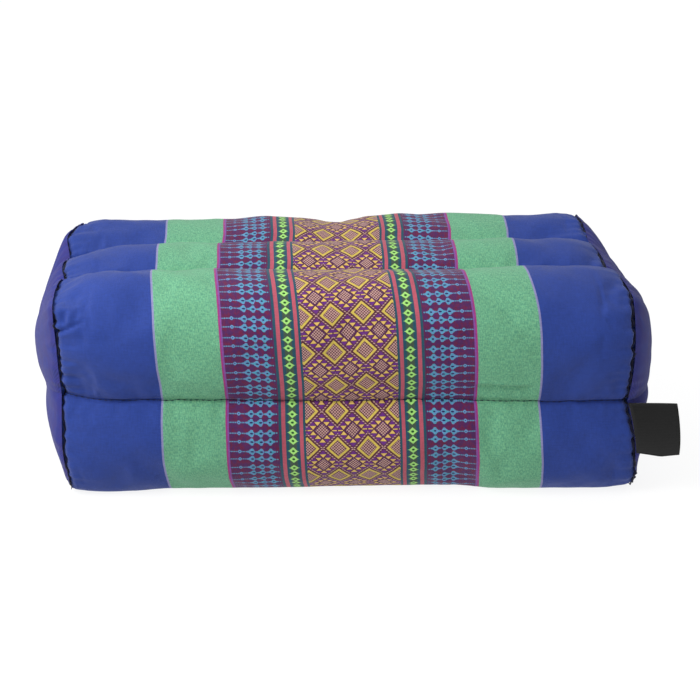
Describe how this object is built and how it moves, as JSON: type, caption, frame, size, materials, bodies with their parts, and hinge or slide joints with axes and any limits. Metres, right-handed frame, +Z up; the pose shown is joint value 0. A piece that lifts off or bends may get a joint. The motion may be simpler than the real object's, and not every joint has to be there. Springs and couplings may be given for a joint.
{
  "type": "block meditation cushion",
  "caption": "Block-shaped filled meditation cushion in a striped woven wrap, sewn into padded channels, with domed twill end panels and a plain folded label tab.",
  "frame": {"origin": "middle of the resting face, on the floor plane", "axes": "+X along the sewn channels, the front with the label faces -Y, +Z up"},
  "size_m": [0.3596, 0.181, 0.1267],
  "materials": {
    "woven_cotton": "matt woven cotton with striped and figured bands",
    "end_twill": "matt violet-blue twill",
    "label_ribbon": "black woven ribbon, no lettering"
  },
  "bodies": {
    "root": {"cushion_body": "woven_cotton", "end_panel_left": "end_twill", "end_panel_right": "end_twill", "label_tab": "label_ribbon"}
  },
  "joints": []
}
